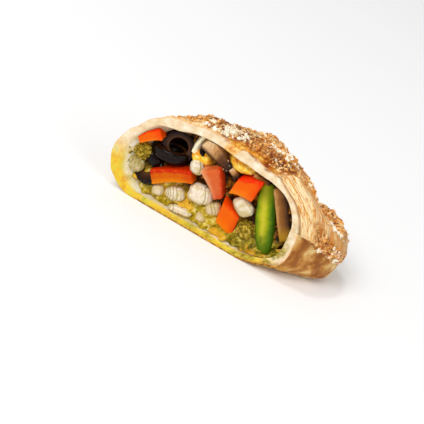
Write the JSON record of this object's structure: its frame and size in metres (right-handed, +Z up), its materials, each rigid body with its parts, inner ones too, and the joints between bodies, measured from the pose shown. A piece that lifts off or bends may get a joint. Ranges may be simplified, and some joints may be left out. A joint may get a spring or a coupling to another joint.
{
  "type": "calzone",
  "caption": "Half of a rolled, baked calzone cut on a slant, with grated cheese on its crust and a filling of vegetables and melted cheese.",
  "frame": {"origin": "middle of the bottom of the part's box, on the surface it rests on", "axes": "+Z up; the cut faces -Y; +X to the right along the cut, which is the long way of the box; the closed end points to +X and +Y"},
  "size_m": [0.1212, 0.0518, 0.0574],
  "materials": {
    "crust": "baked dough, matt, browned on top",
    "filling": "melted cheese and broccoli, moist",
    "red_pepper": "cooked red pepper, moist",
    "orange_pepper": "cooked orange pepper, moist",
    "pink_pepper": "cut face of red pepper, moist",
    "green_pepper": "cooked green pepper, glossy",
    "olive": "black olive, glossy",
    "onion": "cooked onion, translucent, moist",
    "mushroom": "cooked mushroom, moist",
    "mushroom_cap": "pale cut mushroom, moist",
    "broccoli": "cooked broccoli buds, matt",
    "broccoli_stem": "cooked broccoli stem, moist",
    "cheese": "melted cheese, moist"
  },
  "bodies": {
    "root": {"crust": "crust", "filling": "filling", "pepper_centre": "orange_pepper", "olive_front": "olive", "olive_back": "olive", "olive_left": "olive", "pepper_left": "red_pepper", "pepper_tall": "pink_pepper", "pepper_right": "red_pepper", "pepper_low": "orange_pepper", "pepper_green": "green_pepper", "mushroom_right": "mushroom", "mushroom_top": "mushroom_cap", "mushroom_stem": "mushroom_cap", "mushroom_sliver": "mushroom", "cheese_top": "cheese", "cheese_middle": "cheese", "olive_bit": "olive", "olive_under": "olive", "olive_right": "olive", "onion_upper": "onion", "onion_left": "onion", "onion_layers": "onion", "onion_bright": "onion", "onion_small": "onion", "onion_right": "onion", "onion_sliver": "onion", "onion_low": "onion", "broccoli_left": "broccoli", "broccoli_stem": "broccoli_stem", "broccoli_right": "broccoli"}
  },
  "joints": []
}
